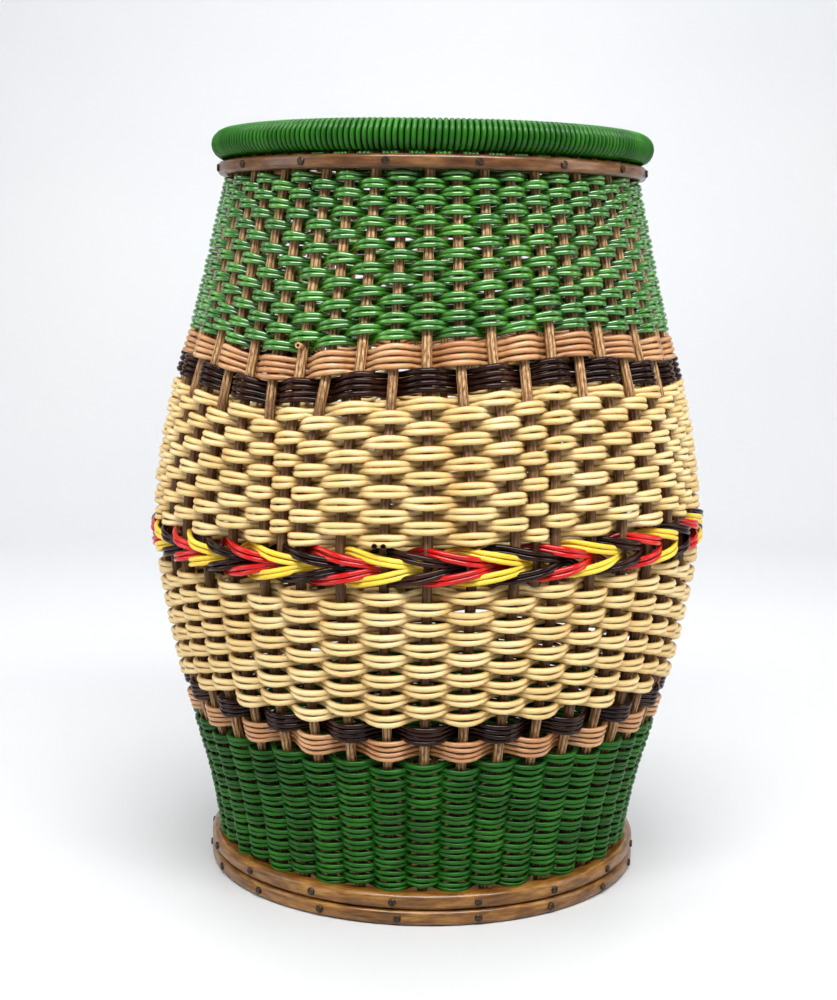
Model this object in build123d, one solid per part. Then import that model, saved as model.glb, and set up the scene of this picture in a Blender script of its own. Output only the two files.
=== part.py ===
from build123d import *
import bisect
import math
import os

# Barrel-shaped umbrella stand woven from plastic tube round rattan stakes.
# Millimetres, +Z up, origin on the ground at the middle of the base.

HEIGHT = 460.0

# Height and radius of the outer face of the weave, from the foot to the rim.
BARREL_PROFILE = [
    (0, 131.4), (18, 131.6), (60, 138.8), (110, 152.5), (160, 164.2), (205, 171.4), (232, 171.9),
    (262, 168.6), (300, 161.2), (350, 147.4), (400, 135.6), (432, 128.8), (460, 127.6),
]

TUBE = 3.1                  # outside diameter of the woven plastic tube
STAKE = 6.4                 # diameter of a rattan stake
WALL = STAKE + 2 * TUBE     # a stake with a tube in front of it and one behind
CLEARANCE = 0.5             # play between a stake and the layers of weave

FULL_STAKES = 43            # stakes that run from the base to the rim
LET_IN_STAKES = 8           # stakes added at the braid
ALL_STAKES = FULL_STAKES + LET_IN_STAKES
FIRST_LET_IN = 3            # place of the first let-in stake in the upper round
STAKE_SPAN = 50             # height between the points a stake's curve goes through
STAKE_FOOT = 1.0
STAKE_TOP = 452.0
LET_IN_FOOT = 190.0
SPREAD_FROM = 234.3         # height where the upper stakes start to spread
EVEN_AGAIN = 345.0          # height where they are all evenly spaced once more

# Name, bottom, top and number of rows of each woven band.
BANDS = [
    ("lower_green_weave", 19.4, 104.0, 20),
    ("lower_tan_band", 104.3, 116.0, 4),
    ("lower_brown_band", 116.3, 125.0, 3),
    ("lower_cream_weave", 125.3, 205.2, 13),
    ("upper_cream_weave", 233.4, 310.8, 12),
    ("upper_brown_band", 311.1, 323.4, 4),
    ("upper_tan_band", 323.7, 337.0, 4),
    ("upper_green_weave", 337.3, 432.0, 17),
]
ROW_GROOVE = 0.8            # depth of the groove between two rows

BRAID_TUBE = 3.0
BRAID_PAIR = 2.8            # distance between the two tubes of a strand
BRAID_MIDDLE = 219.3
BRAID_ROW = 6.75            # middle of each braid row above or below the middle
BRAID_BAR = 20.0            # length of a strand where it lies in front
BRAID_SLANT = 20.0          # its slope in degrees
BRAID_BACK_Z = (206.0, 232.6)
BRAID_BACK_ROWS = 4
BRAID_TURNS = 17            # times the pattern of three colours repeats
BRAID_COLOURS = ["brown", "red", "yellow"]

BASE_THICKNESS = 15.0
BASE_RADIUS = 121.7
BASE_HOOP_OUTER = 136.8
BASE_HOOP_INNER = 128.9
LOWER_HOOP_Z = (0.0, 9.3)
UPPER_HOOP_Z = (9.5, 19.2)
LOWER_HOOP_ROUNDING = 3.0
UPPER_HOOP_ROUNDING = 3.5

RIM_HOOP_Z = (432.3, 440.4)
RIM_OUTER_HOOP = (126.3, 132.4)     # inner and outer radius
RIM_INNER_HOOP = (112.6, 118.5)
RIM_HOOP_ROUNDING = 2.5
ROLL_RADIUS = 9.1           # radius of the rounded edges of the wrapped rim
ROLL_OUTER = 136.5
ROLL_INNER = 108.3
CORE_GAP = 0.2              # play between the rim cores and their wrapping

NAIL_HEAD_RADIUS = 2.3
NAIL_HEAD_HEIGHT = 1.1
NAIL_HEAD_CHAMFER = 0.5
NAIL_SHANK_RADIUS = 0.9
NAIL_LENGTH = 5.0

# Number of nails in each hoop and the angle of the first one from the front.
RIM_NAILS = (16, -11.5)
UPPER_HOOP_NAILS = (17, -7.3)
LOWER_HOOP_NAILS = (18, -6.0)


def barrel_radius(z):
    """Radius of the outer face of the weave at height z, a smooth curve through the profile."""
    heights = [point[0] for point in BARREL_PROFILE]
    radii = [point[1] for point in BARREL_PROFILE]
    last = len(heights) - 1
    i = min(max(bisect.bisect_right(heights, z) - 1, 0), last - 1)
    slopes = []
    for j in (i, i + 1):
        low = max(j - 1, 0)
        high = min(j + 1, last)
        slopes.append((radii[high] - radii[low]) / (heights[high] - heights[low]))
    span = heights[i + 1] - heights[i]
    t = (z - heights[i]) / span
    start = (2 * t**3 - 3 * t**2 + 1) * radii[i] + (t**3 - 2 * t**2 + t) * span * slopes[0]
    end = (3 * t**2 - 2 * t**3) * radii[i + 1] + (t**3 - t**2) * span * slopes[1]
    return start + end


def stake_radius(z):
    """Distance of the stakes' centre lines from the axis."""
    return barrel_radius(z) - WALL / 2


def upper_places():
    """Places in the upper round taken by the let-in stakes."""
    step = ALL_STAKES / LET_IN_STAKES
    return [int(FIRST_LET_IN + step * m) for m in range(LET_IN_STAKES)]


def stake_ends():
    """Lower and upper angle of every stake in the upper round, and whether it is let in."""
    let_in = set(upper_places())
    low_step = 360 / FULL_STAKES
    ends = []
    full = 0
    for place in range(ALL_STAKES):
        if place in let_in:
            ends.append(((full - 0.5) * low_step, place * 360 / ALL_STAKES, True))
        else:
            ends.append((full * low_step, place * 360 / ALL_STAKES, False))
            full += 1
    shift = sum(low - high for low, high, _ in ends) / ALL_STAKES
    return [(low, high + shift, is_let_in) for low, high, is_let_in in ends]


def stake_angle(end, z):
    """Angle of one stake at height z: it moves from its lower place to its upper one."""
    low, high, _ = end
    t = min(max((z - SPREAD_FROM) / (EVEN_AGAIN - SPREAD_FROM), 0), 1)
    return low + (high - low) * t * t * (3 - 2 * t)


def on_wall(radius, angle, z):
    """Point at a radius, an angle in degrees from the front, and a height."""
    a = math.radians(angle)
    return Vector(radius * math.sin(a), -radius * math.cos(a), z)


def round_bar(points, radius):
    """Round bar that follows a smooth curve through the points."""
    path = Spline(*points)
    section = Plane(origin=path @ 0, z_dir=path % 0) * Circle(radius)
    return sweep(section, path=path)


def stake_bar(end, radius, bottom, top):
    steps = max(3, round((top - bottom) / STAKE_SPAN))
    heights = [bottom + (top - bottom) * i / steps for i in range(steps + 1)]
    points = [on_wall(stake_radius(z), stake_angle(end, z), z) for z in heights]
    return round_bar(points, radius)


def stakes():
    return [stake_bar(e, STAKE / 2, STAKE_FOOT, STAKE_TOP) for e in stake_ends() if not e[2]]


def let_in_stakes():
    return [stake_bar(e, STAKE / 2, LET_IN_FOOT, STAKE_TOP) for e in stake_ends() if e[2]]


def revolved(outline):
    """Ring with the closed outline as its section."""
    return revolve(make_face(outline), axis=Axis.Z)


def row_heights(bottom, top, rows):
    """Edges and middles of the rows, from the bottom up."""
    return [bottom + (top - bottom) * i / (2 * rows) for i in range(2 * rows + 1)]


def layer(bottom, top, rows, side):
    """The weave in front of the stakes (side 1) or behind them (side -1), grooved between rows."""
    near = side * (STAKE / 2 + CLEARANCE)
    ribbed = []
    plain = []
    for i, z in enumerate(row_heights(bottom, top, rows)):
        reach = WALL / 2 - (ROW_GROOVE if i % 2 == 0 else 0)
        ribbed.append((stake_radius(z) + side * reach, 0, z))
        if i % 2 == 0:
            plain.append((stake_radius(z) + near, 0, z))
    return revolved(Polyline(*ribbed, *reversed(plain), close=True))


def woven_band(bottom, top, rows):
    """Ring of weave: one layer of tube in front of the stakes and one behind."""
    return [layer(bottom, top, rows, 1), layer(bottom, top, rows, -1)]


def braid_bar(angle, direction):
    """Two tubes side by side, lying aslant in front of the stakes."""
    z = BRAID_MIDDLE - direction * BRAID_ROW
    radius = stake_radius(BRAID_MIDDLE) + STAKE / 2 + CLEARANCE + BRAID_TUBE / 2
    outward = on_wall(1, angle, 0)
    along = on_wall(1, angle + 90, 0)
    wall = Plane(origin=on_wall(radius, angle, z), x_dir=along, z_dir=outward)
    tubes = [
        Pos(0, side * BRAID_PAIR / 2, 0) * Rot(0, 90, 0) * Cylinder(BRAID_TUBE / 2, BRAID_BAR)
        for side in (-1, 1)
    ]
    return wall * Rot(0, 0, direction * BRAID_SLANT) * (tubes[0] + tubes[1])


def braid_strand(colour, direction):
    """Every place where one colour lies in front, in the upper (-1) or the lower (1) row."""
    step = 360 / BRAID_TURNS
    shift = step * colour / len(BRAID_COLOURS)
    return [braid_bar(shift + step * turn, direction) for turn in range(BRAID_TURNS)]


def braid_back():
    """The strands' run behind the stakes, as one ring."""
    return layer(*BRAID_BACK_Z, BRAID_BACK_ROWS, -1)


def upright(radius, height, z):
    """Cylinder on the axis that stands on height z."""
    return Pos(0, 0, z) * Cylinder(radius, height, align=(Align.CENTER, Align.CENTER, Align.MIN))


def base_disc():
    return upright(BASE_RADIUS, BASE_THICKNESS, 0)


def hoop(inner, outer, z_range, rounding):
    """Cane hoop with a rounded outer face."""
    z0, z1 = z_range
    box = make_face(Polyline((inner, 0, z0), (outer, 0, z0), (outer, 0, z1), (inner, 0, z1), close=True))
    ring = revolve(box, axis=Axis.Z)
    rim = [e for e in ring.edges().filter_by(GeomType.CIRCLE) if abs(e.radius - outer) < 0.01]
    return fillet(rim, rounding)


def nail():
    """One nail pointing down, the underside of its head at the origin."""
    head = upright(NAIL_HEAD_RADIUS, NAIL_HEAD_HEIGHT, 0)
    head = chamfer(head.edges().group_by(Axis.Z)[-1], NAIL_HEAD_CHAMFER)
    return head + upright(NAIL_SHANK_RADIUS, NAIL_LENGTH, -NAIL_LENGTH)


def nails(how_many, radius, z_range):
    """Nails driven inwards round a hoop, half-way up it."""
    count, first = how_many
    z = sum(z_range) / 2
    result = []
    for i in range(count):
        angle = first + i * 360 / count
        plane = Plane(origin=on_wall(radius, angle, z), z_dir=on_wall(1, angle, 0))
        result.append(plane * nail())
    return result


def rim_inner_hoop():
    z0, z1 = RIM_HOOP_Z
    inner, outer = RIM_INNER_HOOP
    return upright(outer, z1 - z0, z0) - upright(inner, z1 - z0, z0)


def stadium(inner, outer, middle, radius):
    """Revolved ring with flat top and bottom and half-round edges."""
    a = (inner + radius, 0, middle - radius)
    b = (outer - radius, 0, middle - radius)
    c = (outer, 0, middle)
    d = (outer - radius, 0, middle + radius)
    e = (inner + radius, 0, middle + radius)
    f = (inner, 0, middle)
    outline = [Line(a, b), ThreePointArc(b, c, d), Line(d, e), ThreePointArc(e, f, a)]
    return revolved(outline)


def rim_middle():
    return HEIGHT - ROLL_RADIUS


def stake_slot(depth):
    """Ring that the stakes' ends fill inside the rim, reaching depth below its middle."""
    middle = stake_radius(rim_middle())
    half = STAKE / 2 + CLEARANCE
    base = (Align.CENTER, Align.CENTER, Align.MAX)
    ring = Cylinder(middle + half, depth, align=base) - Cylinder(middle - half, depth, align=base)
    return Pos(0, 0, rim_middle()) * ring


def rim_wrapping():
    """Tube wound round the rim cores, taken as the closed sleeve its turns make."""
    shell = stadium(ROLL_INNER, ROLL_OUTER, rim_middle(), ROLL_RADIUS)
    hollow = stadium(ROLL_INNER + TUBE, ROLL_OUTER - TUBE, rim_middle(), ROLL_RADIUS - TUBE)
    return shell - hollow - stake_slot(2 * ROLL_RADIUS)


def rim_core(is_outer):
    """One of the two cane hoops inside the wrapping, either side of the stakes."""
    half = ROLL_RADIUS - TUBE - CORE_GAP
    full = stadium(ROLL_INNER + TUBE + CORE_GAP, ROLL_OUTER - TUBE - CORE_GAP, rim_middle(), half)
    split = stake_radius(rim_middle())
    slot = STAKE / 2 + CLEARANCE
    if is_outer:
        return full - Pos(0, 0, rim_middle()) * Cylinder(split + slot, 4 * half)
    return full & Pos(0, 0, rim_middle()) * Cylinder(split - slot, 4 * half)


def write(name, solids):
    """Save one node; pieces of a group stay separate solids."""
    pieces = []
    for item in solids if isinstance(solids, list) else [solids]:
        pieces.extend(item.solids())
    shape = pieces[0] if len(pieces) == 1 else Compound(pieces)
    export_step(shape, f"parts/{name}.step")


def write_nailed_hoop(name, nail_name, hoop_solid, nail_list):
    """Save a hoop with holes for its nails, and the nails."""
    write(name, hoop_solid - nail_list)
    write(nail_name, nail_list)


def write_base():
    write("base_disc", base_disc())
    lower = hoop(BASE_HOOP_INNER, BASE_HOOP_OUTER, LOWER_HOOP_Z, LOWER_HOOP_ROUNDING)
    upper = hoop(BASE_HOOP_INNER, BASE_HOOP_OUTER, UPPER_HOOP_Z, UPPER_HOOP_ROUNDING)
    lower_nails = nails(LOWER_HOOP_NAILS, BASE_HOOP_OUTER, LOWER_HOOP_Z)
    upper_nails = nails(UPPER_HOOP_NAILS, BASE_HOOP_OUTER, UPPER_HOOP_Z)
    write_nailed_hoop("base_hoop_lower", "base_hoop_lower_nails", lower, lower_nails)
    write_nailed_hoop("base_hoop_upper", "base_hoop_upper_nails", upper, upper_nails)


def write_wall():
    write("stakes", stakes())
    write("let_in_stakes", let_in_stakes())
    for name, bottom, top, rows in BANDS:
        write(name, woven_band(bottom, top, rows))


def write_braid():
    for colour, colour_name in enumerate(BRAID_COLOURS):
        write(f"braid_upper_{colour_name}", braid_strand(colour, -1))
        write(f"braid_lower_{colour_name}", braid_strand(colour, 1))
    write("braid_back", braid_back())


def write_rim():
    outer_hoop = hoop(*RIM_OUTER_HOOP, RIM_HOOP_Z, RIM_HOOP_ROUNDING)
    rim_nails = nails(RIM_NAILS, RIM_OUTER_HOOP[1], RIM_HOOP_Z)
    write_nailed_hoop("rim_outer_hoop", "rim_nails", outer_hoop, rim_nails)
    write("rim_inner_hoop", rim_inner_hoop())
    write("rim_core_outer", rim_core(True))
    write("rim_core_inner", rim_core(False))
    write("rim_wrapping", rim_wrapping())


def main():
    os.makedirs("parts", exist_ok=True)
    write_base()
    write_wall()
    write_braid()
    write_rim()


main()
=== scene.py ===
import bisect
import math

import bpy
import numpy as np
from mathutils import Matrix, Vector


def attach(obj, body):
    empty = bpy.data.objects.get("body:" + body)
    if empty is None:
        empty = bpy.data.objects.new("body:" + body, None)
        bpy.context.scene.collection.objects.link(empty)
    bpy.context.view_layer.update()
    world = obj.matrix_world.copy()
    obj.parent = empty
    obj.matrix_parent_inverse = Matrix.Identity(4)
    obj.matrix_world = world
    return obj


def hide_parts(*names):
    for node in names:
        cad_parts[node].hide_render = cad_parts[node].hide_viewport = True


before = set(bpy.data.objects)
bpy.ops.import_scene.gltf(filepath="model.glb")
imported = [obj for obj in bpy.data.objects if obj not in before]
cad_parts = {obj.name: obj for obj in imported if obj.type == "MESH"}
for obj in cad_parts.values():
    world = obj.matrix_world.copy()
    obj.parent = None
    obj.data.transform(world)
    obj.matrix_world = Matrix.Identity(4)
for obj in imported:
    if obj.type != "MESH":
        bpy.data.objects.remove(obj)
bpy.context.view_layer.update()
rng = np.random.default_rng(7)

# ---------------------------------------------------------------- measures

# The basket's own measures, in metres, as in the CAD model.
HEIGHT = 0.460

# Height and radius of the outer face of the weave, from the foot to the rim.
BARREL_PROFILE = [
    (0, 0.1314), (0.018, 0.1316), (0.060, 0.1388), (0.110, 0.1525), (0.160, 0.1642),
    (0.205, 0.1714), (0.232, 0.1719), (0.262, 0.1686), (0.300, 0.1612), (0.350, 0.1474),
    (0.400, 0.1356), (0.432, 0.1288), (0.460, 0.1276),
]
STAKE = 0.0064              # diameter of a rattan stake
WALL = 0.0126               # a stake with a tube in front of it and one behind
FULL_STAKES = 43            # stakes that run from the base to the rim
LET_IN_STAKES = 8           # stakes added at the braid
ALL_STAKES = FULL_STAKES + LET_IN_STAKES
FIRST_LET_IN = 3            # place of the first let-in stake in the upper round
STAKE_FOOT = 0.001
STAKE_TOP = 0.452
LET_IN_FOOT = 0.206
BRAID_MIDDLE = 0.2193
SPREAD_FROM = 0.2343        # height where the upper stakes start to spread
EVEN_AGAIN = 0.345          # height where they are all evenly spaced once more

# Outside diameters of the woven plastic tubes.
UPPER_GREEN_TUBE = 0.0031
LOWER_GREEN_TUBE = 0.0030
CREAM_TUBE = 0.0038
UPPER_BAND_TUBE = 0.0034
LOWER_BAND_TUBE = 0.0030
BRAID_TUBE = 0.0031
RIM_TUBE = 0.0034

SIDES = 8                   # corners of a tube's section
END_SIDES = 16              # corners of a cut tube end
STEPS = 6                   # steps along a tube between two stakes

# Height, middle angle and width in degrees of each swell in the upper bands.
SWELLS = [(-0.0095, -36, 20), (0.0062, 33, 22), (0.004, 125, 30), (-0.005, 205, 28)]
DIP = (-0.0034, -14, 30)    # the same for the one dip at the bottom of the lower cream band
TILT = 0.0050               # rise of the braid from the front to the right
TILT_LEVEL = -0.0022        # shift of the braid's middle from its CAD height


def barrel_radius(z):
    """Radius of the outer face of the weave at height z, a smooth curve through the profile."""
    heights = [point[0] for point in BARREL_PROFILE]
    radii = [point[1] for point in BARREL_PROFILE]
    last = len(heights) - 1
    i = min(max(bisect.bisect_right(heights, z) - 1, 0), last - 1)
    slopes = []
    for j in (i, i + 1):
        low = max(j - 1, 0)
        high = min(j + 1, last)
        slopes.append((radii[high] - radii[low]) / (heights[high] - heights[low]))
    span = heights[i + 1] - heights[i]
    t = (z - heights[i]) / span
    start = (2 * t**3 - 3 * t**2 + 1) * radii[i] + (t**3 - 2 * t**2 + t) * span * slopes[0]
    end = (3 * t**2 - 2 * t**3) * radii[i + 1] + (t**3 - t**2) * span * slopes[1]
    return start + end


# The stakes' centre lines, sampled from just under the foot to just over the rim.
RADIUS_Z = np.linspace(-0.002, 0.462, 600)
RADIUS_R = np.array([barrel_radius(z) for z in RADIUS_Z]) - WALL / 2
RADIUS_SLOPE = np.gradient(RADIUS_R, RADIUS_Z)


def stake_radius(z):
    """Distance of the stakes' centre lines from the axis, for one height or many."""
    return np.interp(z, RADIUS_Z, RADIUS_R)


def swung(z, swing):
    """Reach and height of a point that lies a swing out from the stakes, square to the wall."""
    slope = np.interp(z, RADIUS_Z, RADIUS_SLOPE)
    length = np.sqrt(1 + slope**2)
    return stake_radius(z) + swing / length, z - swing * slope / length


def stake_ends():
    """Lower and upper angle of every stake in the upper round, and whether it is let in."""
    step = ALL_STAKES / LET_IN_STAKES
    let_in = {int(FIRST_LET_IN + step * m) for m in range(LET_IN_STAKES)}
    low_step = 360 / FULL_STAKES
    ends = []
    full = 0
    for place in range(ALL_STAKES):
        if place in let_in:
            ends.append(((full - 0.5) * low_step, place * 360 / ALL_STAKES, True))
        else:
            ends.append((full * low_step, place * 360 / ALL_STAKES, False))
            full += 1
    shift = sum(low - high for low, high, _ in ends) / ALL_STAKES
    return [(low, high + shift, is_let_in) for low, high, is_let_in in ends]


ENDS = stake_ends()
LOW = np.array([end[0] for end in ENDS])
HIGH = np.array([end[1] for end in ENDS])


def blend_up(z):
    """How far the upper stakes have moved from their lower to their upper places, 0 to 1."""
    t = np.clip((z - SPREAD_FROM) / (EVEN_AGAIN - SPREAD_FROM), 0, 1)
    return t * t * (3 - 2 * t)


def upper_angle(place, z):
    """Angle in degrees at a place counted in upper stakes, between the stakes' own angles."""
    turns = np.floor(place / ALL_STAKES)
    local = place - turns * ALL_STAKES
    count = np.arange(ALL_STAKES + 1)
    low = np.interp(local, count, np.append(LOW, LOW[0] + 360))
    high = np.interp(local, count, np.append(HIGH, HIGH[0] + 360))
    return low + (high - low) * blend_up(z) + turns * 360


def lower_angle(place, z):
    """Angle in degrees at a place counted in lower stakes, the same at every height."""
    return place * 360 / FULL_STAKES


def bump(angle, middle, width):
    """Smooth rise round the basket, one at its middle angle, nought away from it."""
    d = (angle - middle + 180) % 360 - 180
    return np.exp(-((d / width) ** 2))


def hand_rise(angle, z):
    """How far the hand-woven rows run above (or below) a level ring."""
    swell = sum(rise * bump(angle, middle, width) for rise, middle, width in SWELLS)
    upper = np.interp(z, [0.236, 0.290, 0.335, 0.395, 0.430], [0, 0.85, 1.0, 0.35, 0])
    tilt = TILT * np.sin(np.radians(angle)) + TILT_LEVEL
    middle = np.interp(z, [0.130, 0.200, 0.234, 0.300], [0, 1, 1, 0])
    dip = DIP[0] * bump(angle, *DIP[1:])
    lower = np.interp(z, [0.117, 0.126, 0.190], [0, 1, 0])
    return swell * upper + tilt * middle + dip * lower


def on_wall(radius, angle, z):
    """Points at a radius, an angle in degrees from the front, and a height."""
    a = np.radians(angle)
    return np.stack([radius * np.sin(a), -radius * np.cos(a), z + 0 * a], axis=-1)


def uneven(places, size, spacing=0.5):
    """Small seeded unevenness, smooth along the tube, of about the given size."""
    first = math.floor(places[0] / spacing)
    count = math.ceil(places[-1] / spacing) - first + 2
    values = rng.normal(0, size, count)
    return np.interp(places / spacing, first + np.arange(count), values)


# ---------------------------------------------------------------- tubes as meshes


def corners(sides):
    """Angles of the corners of a section."""
    return np.arange(sides) * 2 * math.pi / sides


def skin(ring_count, sides):
    """Quads between rings of corners, one ring after another, and the caps at both ends."""
    i = np.arange(ring_count - 1)[:, None] * sides
    j = np.arange(sides)[None, :]
    k = (j + 1) % sides
    quads = np.stack([i + j, i + k, i + sides + k, i + sides + j], axis=-1).reshape(-1, 4)
    last = (ring_count - 1) * sides
    return quads, [list(range(sides))[::-1], [last + c for c in range(sides)]]


def sweep(path, radius, up=None, sides=SIDES, flutes=None, shade=0.0, edge_shade=0.0):
    """A capped tube along a path: vertices, faces, caps and the painted shade of each vertex.

    The first corner of its section points along up, and flutes gives the section's shape. The shade
    runs along the tube, the edge shade round it.
    """
    path = np.asarray(path, dtype=float)
    along = np.gradient(path, axis=0)
    along /= np.linalg.norm(along, axis=1)[:, None]
    up = np.tile([0.0, 0.0, 1.0], (len(path), 1)) if up is None else np.asarray(up, dtype=float)
    side = np.cross(along, up)
    side /= np.linalg.norm(side, axis=1)[:, None]
    top = np.cross(side, along)
    turn = corners(sides)
    section = np.ones(sides) if flutes is None else flutes(turn)
    radius = np.broadcast_to(radius, (len(path),))
    ring = (np.cos(turn) * section)[None, :, None] * top[:, None, :]
    ring = ring + (np.sin(turn) * section)[None, :, None] * side[:, None, :]
    verts = (path[:, None, :] + ring * radius[:, None, None]).reshape(-1, 3)
    quads, caps = skin(len(path), sides)
    along_tube = np.broadcast_to(shade, (len(path),))[:, None]
    round_tube = np.broadcast_to(edge_shade, (sides,))[None, :]
    return verts, quads, caps, np.maximum(along_tube, round_tube).reshape(-1)


END_LENGTH = 0.007          # length of a cut end, measured back from its face
END_BEVEL = 0.0003
END_HOLE = 0.55             # width of the hole in it, as a part of the tube's diameter
END_DEPTH = 0.003           # depth of that hole
END_LIFT = 0.12             # how much a cut end points up


def open_end(angle, z, reach, diameter, sideways):
    """A short cut end of a hollow tube that points out of the weave, with the hole in it."""
    outer = diameter / 2
    hole = END_HOLE * outer
    # Distance along the end, radius and painted shade of each ring of corners; the hole is painted
    # dark inside.
    rings = [
        (-END_LENGTH, outer, 0.0), (-END_BEVEL, outer, 0.0), (0, 0.9 * outer, 0.0),
        (0, hole, 0.2), (-END_DEPTH, hole, 1.0),
    ]
    face = on_wall(np.array([reach]), np.array([angle]), z)[0]
    out = on_wall(np.array([1.0]), np.array([angle + sideways]), END_LIFT)[0]
    out /= np.linalg.norm(out)
    side = np.cross(out, [0.0, 0.0, 1.0])
    side /= np.linalg.norm(side)
    top = np.cross(side, out)
    turn = corners(END_SIDES)
    circle = np.cos(turn)[:, None] * top + np.sin(turn)[:, None] * side
    verts = np.concatenate([face + along * out + radius * circle for along, radius, _ in rings])
    shades = np.repeat([shade for _, _, shade in rings], END_SIDES)
    quads, caps = skin(len(rings), END_SIDES)
    return verts, quads, caps, shades


def build(name, parts, material, replaced):
    """One object from several tubes, riding on the basket and standing for CAD nodes."""
    verts = []
    faces = []
    shades = []
    offset = 0
    for part_verts, quads, caps, shade in parts:
        verts.append(part_verts)
        shades.append(shade)
        faces.extend((quads + offset).tolist())
        faces.extend([[c + offset for c in cap] for cap in caps])
        offset += len(part_verts)
    mesh = bpy.data.meshes.new(name)
    mesh.from_pydata(np.concatenate(verts).tolist(), [], faces)
    mesh.polygons.foreach_set("use_smooth", [True] * len(mesh.polygons))
    mesh.materials.append(material)
    stored_shade = mesh.attributes.new("shade", "FLOAT", "POINT")
    stored_shade.data.foreach_set("value", np.concatenate(shades))
    mesh.update()
    obj = bpy.data.objects.new(name, mesh)
    bpy.context.collection.objects.link(obj)
    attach(obj, "root")
    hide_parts(*replaced)
    return obj


# ---------------------------------------------------------------- materials


class Nodes:
    """Short ways to add and join shader nodes in one material."""

    def __init__(self, name):
        self.material = bpy.data.materials.new(name)
        self.material.use_nodes = True
        self.tree = self.material.node_tree
        self.shader = self.tree.nodes["Principled BSDF"]

    def add(self, kind, settings=None, **inputs):
        node = self.tree.nodes.new(kind)
        for key, value in (settings or {}).items():
            setattr(node, key, value)
        for key, value in inputs.items():
            self.put(node.inputs[key.replace("_", " ")], value)
        return node

    def put(self, socket, value):
        """Link an output to a socket, or set the socket to a constant."""
        if isinstance(value, bpy.types.NodeSocket):
            self.tree.links.new(value, socket)
        else:
            socket.default_value = value

    def noise(self, vector, scale, detail=3.0, roughness=0.55):
        node = self.add("ShaderNodeTexNoise", Scale=scale, Detail=detail, Roughness=roughness)
        self.put(node.inputs["Vector"], vector)
        return node.outputs["Fac"]

    def ramp(self, factor, stops):
        node = self.add("ShaderNodeValToRGB")
        elements = node.color_ramp.elements
        while len(elements) < len(stops):
            elements.new(0.5)
        for element, (place, colour) in zip(elements, stops):
            element.position = place
            element.color = (*colour, 1)
        self.put(node.inputs["Fac"], factor)
        return node.outputs["Color"]

    def map_range(self, value, low, high):
        node = self.add("ShaderNodeMapRange")
        self.put(node.inputs["Value"], value)
        node.inputs["To Min"].default_value = low
        node.inputs["To Max"].default_value = high
        return node.outputs["Result"]

    def math(self, operation, a, b=0.0):
        node = self.add("ShaderNodeMath", {"operation": operation})
        self.put(node.inputs[0], a)
        self.put(node.inputs[1], b)
        return node.outputs[0]

    def mix(self, factor, a, b):
        node = self.add("ShaderNodeMix", {"data_type": "RGBA"})
        colours = [socket for socket in node.inputs if socket.type == "RGBA"]
        self.put(node.inputs[0], factor)
        self.put(colours[0], a)
        self.put(colours[1], b)
        return next(socket for socket in node.outputs if socket.type == "RGBA")

    def shade(self):
        """How much painted shade a place gets, from 0 to 1: deep in the weave or in a groove."""
        return self.add("ShaderNodeAttribute", {"attribute_name": "shade"}).outputs["Fac"]

    def place(self):
        return self.add("ShaderNodeTexCoord").outputs["Object"]

    def stretched(self, scale):
        node = self.add("ShaderNodeMapping", Scale=scale)
        self.put(node.inputs["Vector"], self.place())
        return node.outputs["Vector"]

    def round_axis(self, along, up, out):
        """Coordinates that run round the basket, up it and out from its axis, joined at the back."""
        split = self.add("ShaderNodeSeparateXYZ")
        self.put(split.inputs[0], self.place())
        x, y, z = split.outputs
        angle = self.math("ARCTAN2", x, self.math("MULTIPLY", y, -1.0))
        squares = [self.math("MULTIPLY", side, side) for side in (x, y)]
        reach = self.math("SQRT", self.math("ADD", *squares))
        join = self.add("ShaderNodeCombineXYZ")
        self.put(join.inputs[0], self.math("MULTIPLY", angle, along))
        self.put(join.inputs[1], self.math("MULTIPLY", z, up))
        self.put(join.inputs[2], self.math("MULTIPLY", reach, out))
        return join.outputs[0]

    def bump(self, height, strength, distance):
        node = self.add("ShaderNodeBump", Strength=strength, Distance=distance)
        self.put(node.inputs["Height"], height)
        self.put(self.shader.inputs["Normal"], node.outputs["Normal"])


def tube_material(name, colours, gloss=0.3, coat=0.25, specular=0.5):
    """Glossy plastic tube: cloudy colour, painted shade deep in the weave, scuffs, a faint drawn
    surface.
    """
    deep, dark, middle, light = colours
    n = Nodes(name)
    place = n.place()
    cloud = n.noise(place, 38.0, 4.0)
    clean = n.ramp(cloud, [(0.30, dark), (0.52, middle), (0.74, light)])
    # painted shade: the shade attribute mixes the deep colour in, in the weave and between the tubes
    n.put(n.shader.inputs["Base Color"], n.mix(n.shade(), clean, (*deep, 1)))
    scuff = n.noise(place, 420.0, 3.0)
    n.put(n.shader.inputs["Roughness"], n.map_range(scuff, gloss - 0.08, gloss + 0.14))
    n.shader.inputs["Specular IOR Level"].default_value = specular
    n.shader.inputs["Coat Weight"].default_value = coat
    n.shader.inputs["Coat Roughness"].default_value = 0.1
    n.bump(n.noise(n.round_axis(14.0, 900.0, 900.0), 1.0, 2.0), 0.25, 0.0002)
    return n.material


def stake_material():
    """Rattan stake: pale and dark fibres that run along it, painted shade in its grooves and behind
    the cream weave.
    """
    n = Nodes("rattan_stake_fibres")
    fibre = n.noise(n.stretched((1100.0, 1100.0, 12.0)), 1.0, 4.0, 0.6)
    fibres = n.ramp(
        fibre,
        [(0.34, (0.16, 0.065, 0.022)), (0.46, (0.44, 0.24, 0.10)), (0.66, (0.74, 0.50, 0.26))],
    )
    # painted shade colour, mixed in by the shade attribute
    stake_shade_colour = (0.05, 0.018, 0.006, 1)
    n.put(n.shader.inputs["Base Color"], n.mix(n.shade(), fibres, stake_shade_colour))
    n.put(n.shader.inputs["Roughness"], n.map_range(fibre, 0.48, 0.72))
    n.bump(fibre, 0.5, 0.0005)
    return n.material


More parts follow.
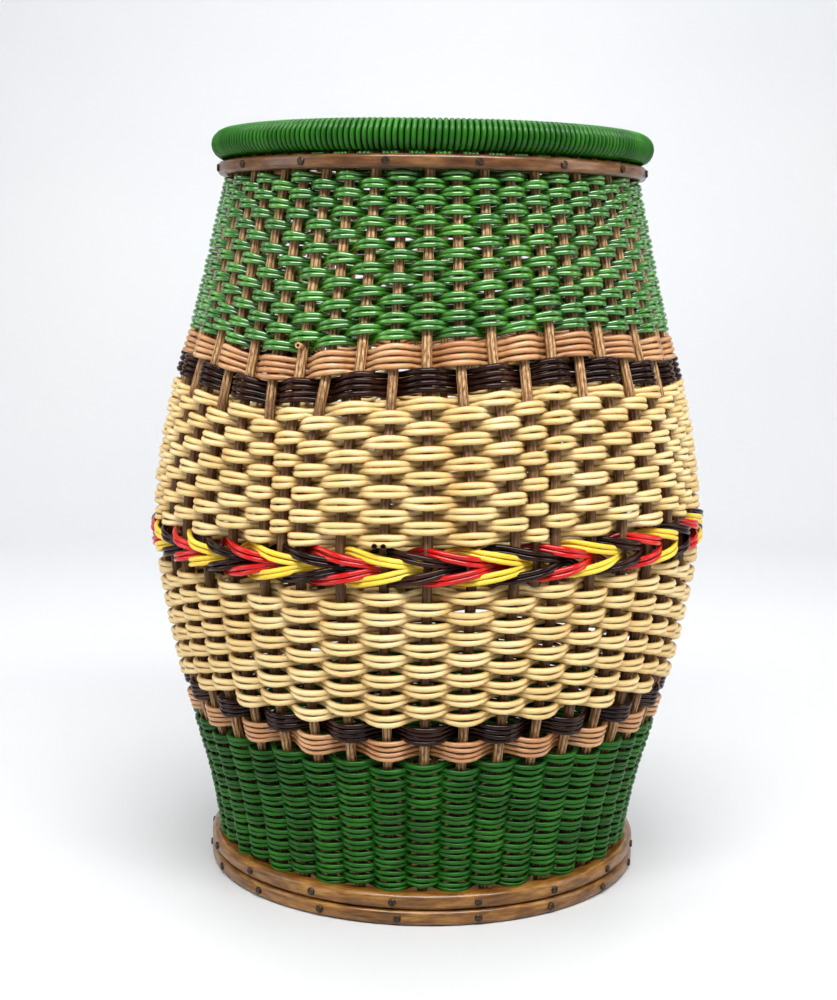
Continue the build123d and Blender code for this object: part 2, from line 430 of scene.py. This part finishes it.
def hoop_material(name, dark, middle, light):
    """Varnished cane: grain round the hoop, darker growth spots and worn highlights."""
    n = Nodes(name)
    grain = n.noise(n.round_axis(9.0, 420.0, 420.0), 1.0, 5.0, 0.62)
    spots = n.noise(n.round_axis(5.0, 60.0, 60.0), 1.0, 2.0)
    mixed = n.math("ADD", n.math("MULTIPLY", grain, 0.62), n.math("MULTIPLY", spots, 0.38))
    colour = n.ramp(mixed, [(0.33, dark), (0.50, middle), (0.68, light)])
    n.put(n.shader.inputs["Base Color"], colour)
    n.put(n.shader.inputs["Roughness"], n.map_range(spots, 0.25, 0.5))
    n.shader.inputs["Coat Weight"].default_value = 0.4
    n.shader.inputs["Coat Roughness"].default_value = 0.2
    n.bump(grain, 0.35, 0.0004)
    return n.material


def plywood_material():
    """Base board: pale veneer with straight grain."""
    n = Nodes("plywood_veneer")
    grain = n.noise(n.stretched((14.0, 260.0, 260.0)), 1.0, 5.0, 0.6)
    colour = n.ramp(
        grain,
        [(0.30, (0.36, 0.21, 0.10)), (0.52, (0.58, 0.38, 0.20)), (0.72, (0.72, 0.52, 0.31))],
    )
    n.put(n.shader.inputs["Base Color"], colour)
    n.put(n.shader.inputs["Roughness"], n.map_range(grain, 0.5, 0.7))
    n.bump(grain, 0.3, 0.0004)
    return n.material


def nail_material():
    """Nail heads: dull dark steel with rust spots."""
    n = Nodes("nail_dull_steel")
    spots = n.noise(n.place(), 900.0, 3.0)
    colour = n.ramp(
        spots,
        [(0.35, (0.03, 0.022, 0.018)), (0.55, (0.09, 0.065, 0.05)), (0.75, (0.20, 0.12, 0.07))],
    )
    n.put(n.shader.inputs["Base Color"], colour)
    n.shader.inputs["Metallic"].default_value = 0.8
    n.put(n.shader.inputs["Roughness"], n.map_range(spots, 0.3, 0.6))
    n.bump(spots, 0.3, 0.0002)
    return n.material


def floor_material():
    """Studio floor: pale, with the faintest mottle."""
    n = Nodes("studio_floor")
    mottle = n.noise(n.place(), 1.5, 2.0)
    colour = n.ramp(mottle, [(0.3, (0.595, 0.605, 0.62)), (0.7, (0.62, 0.625, 0.635))])
    n.put(n.shader.inputs["Base Color"], colour)
    n.put(n.shader.inputs["Roughness"], n.map_range(mottle, 0.45, 0.55))
    return n.material


# Colours of each tube: its painted shade deep in the weave, then the darkest to the lightest of its
# clouds.
UPPER_GREEN = tube_material(
    "tube_upper_green",
    [(0.003, 0.025, 0.002), (0.024, 0.145, 0.010), (0.052, 0.235, 0.018), (0.11, 0.36, 0.04)],
    gloss=0.15,
    coat=0.9,
    specular=0.9,
)
LOWER_GREEN = tube_material(
    "tube_lower_green",
    [(0.001, 0.012, 0.001), (0.009, 0.075, 0.004), (0.018, 0.125, 0.008), (0.036, 0.19, 0.018)],
    gloss=0.32,
    coat=0.1,
    specular=0.25,
)
RIM_GREEN = tube_material(
    "tube_rim_green",
    [(0.001, 0.010, 0.001), (0.012, 0.105, 0.005), (0.024, 0.16, 0.009), (0.05, 0.25, 0.02)],
    gloss=0.34,
    coat=0.06,
    specular=0.3,
)
CREAM = tube_material(
    "tube_cream",
    [(0.30, 0.135, 0.028), (0.70, 0.49, 0.20), (0.83, 0.63, 0.30), (0.91, 0.76, 0.44)],
    gloss=0.36,
    specular=0.4,
)
TAN = tube_material(
    "tube_tan",
    [(0.14, 0.042, 0.012), (0.44, 0.205, 0.088), (0.60, 0.325, 0.15), (0.77, 0.48, 0.26)],
    gloss=0.30,
)
BROWN = tube_material(
    "tube_brown",
    [(0.005, 0.0014, 0.0008), (0.014, 0.0042, 0.0024), (0.028, 0.0088, 0.005), (0.055, 0.019, 0.011)],
    gloss=0.16,
    coat=0.0,
    specular=0.32,
)
RED = tube_material(
    "tube_red",
    [(0.12, 0.001, 0.001), (0.44, 0.005, 0.004), (0.62, 0.010, 0.008), (0.74, 0.03, 0.02)],
    gloss=0.18,
    coat=0.4,
    specular=0.4,
)
YELLOW = tube_material(
    "tube_yellow",
    [(0.50, 0.21, 0.008), (0.80, 0.53, 0.045), (0.90, 0.67, 0.07), (0.95, 0.78, 0.14)],
    gloss=0.22,
    coat=0.3,
    specular=0.4,
)
RATTAN = stake_material()
RIM_CANE = hoop_material("cane_rim", (0.05, 0.018, 0.005), (0.14, 0.058, 0.018), (0.28, 0.14, 0.05))
BASE_CANE = hoop_material(
    "cane_base", (0.055, 0.020, 0.003), (0.20, 0.085, 0.014), (0.42, 0.22, 0.055),
)
PLYWOOD = plywood_material()
NAIL = nail_material()


# ---------------------------------------------------------------- weave

OUTWARD = 0.0005            # how far the woven tubes sit out from the middle of the stakes
CREST = 0.8                 # under one, a tube stays longer at its full distance from the stakes
PAIR_PITCH = 1.04           # distance between the two tubes of a row, in diameters
PAIR_PINCH = 0.66           # how much of it is left where the row passes between two stakes
STRIPE_TUBES = 4            # tubes side by side in a stripe
STRIPE_PITCH = 0.9          # least distance between them, in diameters
STRIPE_PINCH = 0.92
RISE_WAVER = 0.00018        # unevenness of a tube in height, in reach and in degrees
REACH_WAVER = 0.00012
ANGLE_WAVER = 0.05


def in_weave(wave, size=0.25):
    """Painted shade along a tube: dark where it passes between the stakes, clear on its crests."""
    return size * np.clip(1 - np.abs(wave) / 0.4, 0, 1)


def between_tubes(size=0.75):
    """Painted shade round a tube: dark along the lines where it touches the tubes above and below."""
    return size * np.abs(np.cos(corners(SIDES))) ** 4


def weave_tube(places, heights, stakes, look, index, count):
    """One tube of a row woven over and under the stakes, index counted up from the row's lowest."""
    diameter, pitch, pinch, swap = look
    angle_of = upper_angle if stakes == ALL_STAKES else lower_angle
    wave = np.cos(math.pi * (places + swap))
    angle = angle_of(places, heights)
    spread = pitch * (pinch + (1 - pinch) * np.abs(wave))
    z = heights + (index - (count - 1) / 2) * spread
    z = z + hand_rise(angle, heights) + uneven(places, RISE_WAVER)
    swing = (STAKE + diameter) / 2 * np.sign(wave) * np.abs(wave) ** CREST
    reach, z = swung(z, swing + OUTWARD + uneven(places, REACH_WAVER))
    angle = angle + uneven(places, ANGLE_WAVER)
    path = on_wall(reach, angle, z)
    return sweep(path, diameter / 2, shade=in_weave(wave), edge_shade=between_tubes())


def places_round(stakes, rows):
    """Places along a tube in stakes, from between two stakes at the back, a number of times round."""
    return (stakes + 1) / 2 + np.arange(rows * stakes * STEPS + 1) / STEPS


def weave_rows(band, material, span, rows, stakes, diameter, loose=0.0):
    """A band woven as one spiral of paired tubes, its rows closer at both ends the looser it is.

    The number of stakes is odd, so over and under swap at each turn.
    """
    bottom, top = span
    places = places_round(stakes, rows)
    t = (places - places[0]) / (rows * stakes)
    t = t - loose * np.sin(2 * math.pi * t) / (2 * math.pi)
    heights = bottom + diameter + (top - bottom - 2 * diameter) * t
    look = (diameter, PAIR_PITCH * diameter, PAIR_PINCH, 0)
    parts = [weave_tube(places, heights, stakes, look, i, 2) for i in range(2)]
    return build(f"{band}_tubes", parts, material, [f"{band}_weave"])


def weave_stripe(band, material, span, stakes, diameter, swap=0, ends=()):
    """A stripe woven once round with several tubes side by side, and any cut ends that stick out."""
    bottom, top = span
    places = places_round(stakes, 1)
    heights = (bottom + top) / 2 + 0 * places
    pitch = max((top - bottom) / STRIPE_TUBES, STRIPE_PITCH * diameter)
    look = (diameter, pitch, STRIPE_PINCH, swap)
    parts = [
        weave_tube(places, heights, stakes, look, i, STRIPE_TUBES) for i in range(STRIPE_TUBES)
    ]
    parts.extend(ends)
    return build(f"{band}_tubes", parts, material, [f"{band}_band"])


def lower_bands():
    weave_rows(
        "lower_green", LOWER_GREEN, (0.0168, 0.1040), 22, FULL_STAKES, LOWER_GREEN_TUBE,
    )
    weave_stripe("lower_tan", TAN, (0.1030, 0.1158), FULL_STAKES, LOWER_BAND_TUBE)
    weave_stripe(
        "lower_brown", BROWN, (0.1148, 0.1262), FULL_STAKES, LOWER_BAND_TUBE, swap=1,
    )
    weave_rows("lower_cream", CREAM, (0.1246, 0.2096), 13, FULL_STAKES, CREAM_TUBE)


def upper_bands():
    weave_rows("upper_cream", CREAM, (0.2274, 0.3116), 12, ALL_STAKES, CREAM_TUBE)
    weave_stripe(
        "upper_brown", BROWN, (0.3100, 0.3238), ALL_STAKES, UPPER_BAND_TUBE, swap=1,
    )
    tan_end = open_end(-28.2, z=0.3350, reach=0.1552, diameter=UPPER_BAND_TUBE, sideways=12)
    weave_stripe(
        "upper_tan", TAN, (0.3232, 0.3374), ALL_STAKES, UPPER_BAND_TUBE, ends=[tan_end],
    )
    weave_rows(
        "upper_green", UPPER_GREEN, (0.3370, 0.4334), 17, ALL_STAKES,
        UPPER_GREEN_TUBE, loose=0.2,
    )


lower_bands()
upper_bands()


# ---------------------------------------------------------------- braid

BRAID_ROW = 0.0049          # middle of each braid row above or below the middle of the braid
BRAID_SWING = 0.0047        # how far a strand slants up and down from the middle of its row
BRAID_LEAN = 0.0026         # how far the strands' middle lies out from the stakes
BRAID_DEPTH = 0.0050        # how far they swing out and in from there
BRAID_TURNS = 17            # times the pattern of three colours repeats
BRAID_START = 1.7           # angle by which the pattern is turned round the basket
BRAID_STEPS = 27            # steps along a strand in one turn of the pattern
BRAID_FRONT = 0.74          # part of a turn in which a strand slants across the front
BRAID_PAIR = 0.84           # distance between the two tubes of a strand, in diameters
BRAID_PAIR_OPENS = 0.14     # how much wider they lie in front, and closer behind
# The braid's strands get painted shade where they dip behind the stakes.
BRAID_DIP_SHADE = 0.85          # shade of a strand where it dips behind
BRAID_RISE_WAVER = 0.00022
BRAID_REACH_WAVER = 0.00015
BRAID_END_ANGLES = (-9.4, -7.8)     # where two cut brown ends stick out above it

# Weights of a point and its neighbours where a strand's bends are rounded.
SMOOTHING = np.array([1, 2, 3, 4, 5, 4, 3, 2, 1]) / 25


def slant(turn):
    """Height of a strand within its row: from the outer edge straight to the middle, then back."""
    part = np.mod(turn, 1)
    down = 1 - 2 * part / BRAID_FRONT
    back = -np.cos(math.pi * (part - BRAID_FRONT) / (1 - BRAID_FRONT))
    rough = np.where(part < BRAID_FRONT, down, back)
    reach = len(SMOOTHING) // 2
    padded = np.concatenate([rough[-reach - 1:-1], rough, rough[1:reach + 1]])
    return np.convolve(padded, SMOOTHING, mode="valid")


def braid_tube(colour, direction, side):
    """One tube of a strand once round, in the upper (-1) or the lower (1) row.

    It slants across the front, then dips behind.
    """
    turn = np.arange(BRAID_TURNS * BRAID_STEPS + 1) / BRAID_STEPS
    angle = 180 + BRAID_START + (turn + colour / 3) * 360 / BRAID_TURNS
    wave = np.cos(2 * math.pi * (turn - BRAID_FRONT / 2))
    z = BRAID_MIDDLE - direction * (BRAID_ROW + BRAID_SWING * slant(turn))
    z = z + side * BRAID_TUBE / 2 * (BRAID_PAIR + BRAID_PAIR_OPENS * wave)
    z = z + hand_rise(angle, BRAID_MIDDLE)
    z = z + uneven(turn * 3, BRAID_RISE_WAVER)
    reach = stake_radius(z) + BRAID_LEAN + BRAID_DEPTH * wave
    reach = reach + uneven(turn * 3, BRAID_REACH_WAVER)
    # painted shade where the strand dips behind
    shade = BRAID_DIP_SHADE * np.clip((0.1 - wave) / 0.7, 0, 1)
    path = on_wall(reach, angle, z)
    return sweep(path, BRAID_TUBE / 2, shade=shade, edge_shade=between_tubes(0.45))


def braid_end(angle):
    return open_end(angle, z=0.2298, reach=0.1776, diameter=BRAID_TUBE, sideways=9)


def braid():
    """Six pairs of tubes. The lower brown pair also stands for the braid's run behind the stakes."""
    colours = [("brown", BROWN), ("red", RED), ("yellow", YELLOW)]
    for row, direction in (("upper", -1), ("lower", 1)):
        for i, (colour, material) in enumerate(colours):
            parts = [braid_tube(i, direction, side) for side in (-1, 1)]
            nodes = [f"braid_{row}_{colour}"]
            if nodes == ["braid_upper_brown"]:
                parts += [braid_end(a) for a in BRAID_END_ANGLES]
            if nodes == ["braid_lower_brown"]:
                nodes.append("braid_back")
            build(f"braid_{row}_{colour}_tubes", parts, material, nodes)


braid()


# ---------------------------------------------------------------- stakes

STAKE_SIDES = 28
STAKE_POINTS = 70           # points along a stake
STAKE_THICKNESS = 0.92      # of the full diameter, to leave the woven tubes more room
GROOVES = 7
GROOVE_DEPTH = 0.12         # in radii
# painted shade in the grooves along a stake
GROOVE_SHADE = 0.85


def stake_groove(turn):
    """How far into a groove a corner of a stake's section is, from 0 to 1."""
    return np.abs(np.cos(GROOVES * turn / 2)) ** 6


def stake_flutes(turn):
    """Section of a stake: a few shallow grooves along it."""
    return 1 - GROOVE_DEPTH * stake_groove(turn)


def stake_shade_by_height(z):
    """Painted shade on the stakes along their height: darker behind the cream weave."""
    return np.interp(z, [0.118, 0.132, 0.215, 0.232, 0.300, 0.316], [0, 0.8, 0.8, 0.65, 0.6, 0])


def stake_part(end, bottom):
    """One stake, a little off its place, with its own thickness and its grooves turned at random."""
    low, high, _ = end
    z = np.linspace(bottom, STAKE_TOP, STAKE_POINTS)
    angle = low + (high - low) * blend_up(z) + rng.normal(0, 0.06)
    thickness = STAKE_THICKNESS + rng.normal(0, 0.02)
    radius = STAKE / 2 * thickness * (1 + 0.015 * np.sin(z * 130 + rng.uniform(0, 6)))
    out = on_wall(np.ones_like(z), angle + rng.uniform(-60, 60), 0 * z)
    return sweep(
        on_wall(stake_radius(z), angle, z),
        radius,
        up=out,
        sides=STAKE_SIDES,
        flutes=stake_flutes,
        shade=stake_shade_by_height(z),
        edge_shade=GROOVE_SHADE * stake_groove(corners(STAKE_SIDES)),
    )


def stakes():
    full = [stake_part(end, STAKE_FOOT) for end in ENDS if not end[2]]
    let_in = [stake_part(end, LET_IN_FOOT) for end in ENDS if end[2]]
    build("rattan_stakes", full, RATTAN, ["stakes"])
    build("rattan_let_in_stakes", let_in, RATTAN, ["let_in_stakes"])


stakes()


# ---------------------------------------------------------------- rim

ROLL_RADIUS = 0.0091        # radius of the rounded edges of the wound rim
ROLL_OUTER = 0.1365
ROLL_INNER = 0.1083
ROLL_TURNS = 245
ROLL_STEPS = 28             # steps along the tube in one turn
ROLL_WOBBLE = 0.045         # unevenness of the turns round the rim, in degrees
ROLL_LIFT = 0.00012         # unevenness of the turns out from it


def on_arc(middle_r, middle_z, radius, a):
    """Radius and height of a point on an arc, and the direction out of it."""
    return (middle_r + radius * math.cos(a), middle_z + radius * math.sin(a), math.cos(a), math.sin(a))


def rim_section():
    """Points round the rim's rounded section as (radius, height, outward r, outward z)."""
    r = ROLL_RADIUS - RIM_TUBE / 2
    middle = HEIGHT - ROLL_RADIUS
    inner = ROLL_INNER + ROLL_RADIUS
    outer = ROLL_OUTER - ROLL_RADIUS
    flat = outer - inner
    length = 2 * flat + 2 * math.pi * r
    points = []
    for i in range(ROLL_STEPS):
        s = length * i / ROLL_STEPS
        if s < flat:
            points.append((inner + s, middle - r, 0, -1))
        elif s < flat + math.pi * r:
            points.append(on_arc(outer, middle, r, (s - flat) / r - math.pi / 2))
        elif s < 2 * flat + math.pi * r:
            points.append((outer - (s - flat - math.pi * r), middle + r, 0, 1))
        else:
            points.append(on_arc(inner, middle, r, (s - 2 * flat - math.pi * r) / r + math.pi / 2))
    return np.array(points)


def rim_winding():
    """The green tube wound round the rim, turn against turn, with painted shade between the turns."""
    section = np.tile(rim_section(), (ROLL_TURNS, 1))
    count = len(section)
    angle = 180 + 360 * np.arange(count) / count
    turns = np.arange(count) / ROLL_STEPS
    wobble = uneven(turns, ROLL_WOBBLE, 1.0)
    lift = uneven(turns, ROLL_LIFT, 1.0)
    reach = section[:, 0] + lift * section[:, 2]
    path = on_wall(reach, angle + wobble, section[:, 1])
    out = on_wall(section[:, 2], angle, section[:, 3])
    # painted shade on the sides where a turn lies against its neighbours
    shade_between_turns = 0.9 * np.abs(np.sin(corners(SIDES))) ** 2
    tube = sweep(path, RIM_TUBE / 2, up=out, edge_shade=shade_between_turns)
    build("rim_winding", [tube], RIM_GREEN, ["rim_wrapping"])


rim_winding()


# ---------------------------------------------------------------- CAD nodes that stay in sight


def dress_cad_nodes():
    """Better materials on the CAD nodes that stay in sight."""
    looks = [
        (PLYWOOD, ["base_disc"]),
        (BASE_CANE, ["base_hoop_lower", "base_hoop_upper"]),
        (RIM_CANE, ["rim_outer_hoop", "rim_inner_hoop", "rim_core_outer", "rim_core_inner"]),
        (NAIL, ["rim_nails", "base_hoop_lower_nails", "base_hoop_upper_nails"]),
    ]
    for material, names in looks:
        for name in names:
            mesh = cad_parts[name].data
            mesh.materials.clear()
            mesh.materials.append(material)


dress_cad_nodes()


# ---------------------------------------------------------------- studio

FLOOR_HALF_WIDTH = 4.0
FLOOR_FRONT = -3.0
BEND_FROM = 1.2             # distance behind the basket where the floor starts to curve up
BEND_RADIUS = 0.8
WALL_TOP = 3.5

CAMERA_PLACE = (-0.0055, -1.0656, 0.383)
CAMERA_DOWN = 8.15          # degrees
CAMERA_ROLL = 0.85
LENS = 60.5                 # millimetres, for a picture 36 mm high


def backdrop():
    """Pale floor that curves up into a wall behind the basket."""
    profile = [(FLOOR_FRONT, 0.0), (BEND_FROM, 0.0)]
    for a in np.linspace(0.1, math.pi / 2, 16):
        y = BEND_FROM + BEND_RADIUS * math.sin(a)
        profile.append((y, BEND_RADIUS - BEND_RADIUS * math.cos(a)))
    profile.append((BEND_FROM + BEND_RADIUS, WALL_TOP))
    verts = [(x, y, z) for y, z in profile for x in (-FLOOR_HALF_WIDTH, FLOOR_HALF_WIDTH)]
    faces = [[2 * i, 2 * i + 1, 2 * i + 3, 2 * i + 2] for i in range(len(profile) - 1)]
    mesh = bpy.data.meshes.new("studio_backdrop")
    mesh.from_pydata(verts, [], faces)
    mesh.polygons.foreach_set("use_smooth", [True] * len(mesh.polygons))
    mesh.materials.append(floor_material())
    obj = bpy.data.objects.new("studio_backdrop", mesh)
    bpy.context.collection.objects.link(obj)


def area_light(name, place, target, size, power):
    """White rectangular light at a place, turned to its target."""
    light = bpy.data.lights.new(name, "AREA")
    light.shape = "RECTANGLE"
    light.size, light.size_y = size
    light.energy = power
    obj = bpy.data.objects.new(name, light)
    obj.location = place
    obj.rotation_euler = (Vector(target) - Vector(place)).to_track_quat("-Z", "Y").to_euler()
    bpy.context.collection.objects.link(obj)


def lights():
    middle = (0, 0, 0.25)
    area_light("key_above", (0.1, -1.1, 1.8), middle, (2.2, 0.4), 48)
    area_light("top_soft", (0, 0.1, 1.7), middle, (1.4, 1.0), 7)
    area_light("left_wall", (-1.7, -0.3, 0.9), middle, (0.8, 1.2), 7)
    area_light("right_wall", (1.7, -0.3, 0.9), middle, (0.8, 1.2), 7)
    area_light("wall_wash", (0, 0.9, 2.2), (0, 2.0, 0.9), (2.5, 0.6), 23)
    world = bpy.data.worlds.new("studio_air")
    world.use_nodes = True
    world.node_tree.nodes["Background"].inputs["Color"].default_value = (0.96, 0.98, 1.0, 1)
    world.node_tree.nodes["Background"].inputs["Strength"].default_value = 0.25
    bpy.context.scene.world = world


def camera():
    """Eye a little under the rim, looking slightly down."""
    data = bpy.data.cameras.new("photo_camera")
    data.sensor_fit = "VERTICAL"
    data.sensor_height = 36.0
    data.lens = LENS
    obj = bpy.data.objects.new("photo_camera", data)
    tilt = Matrix.Rotation(math.radians(90 - CAMERA_DOWN), 4, "X")
    roll = Matrix.Rotation(math.radians(CAMERA_ROLL), 4, "Z")
    obj.matrix_world = Matrix.Translation(CAMERA_PLACE) @ (tilt @ roll)
    bpy.context.collection.objects.link(obj)
    bpy.context.scene.camera = obj


backdrop()
lights()
camera()
bpy.context.scene.view_settings.view_transform = "Standard"
bpy.context.scene.view_settings.look = "Medium High Contrast"
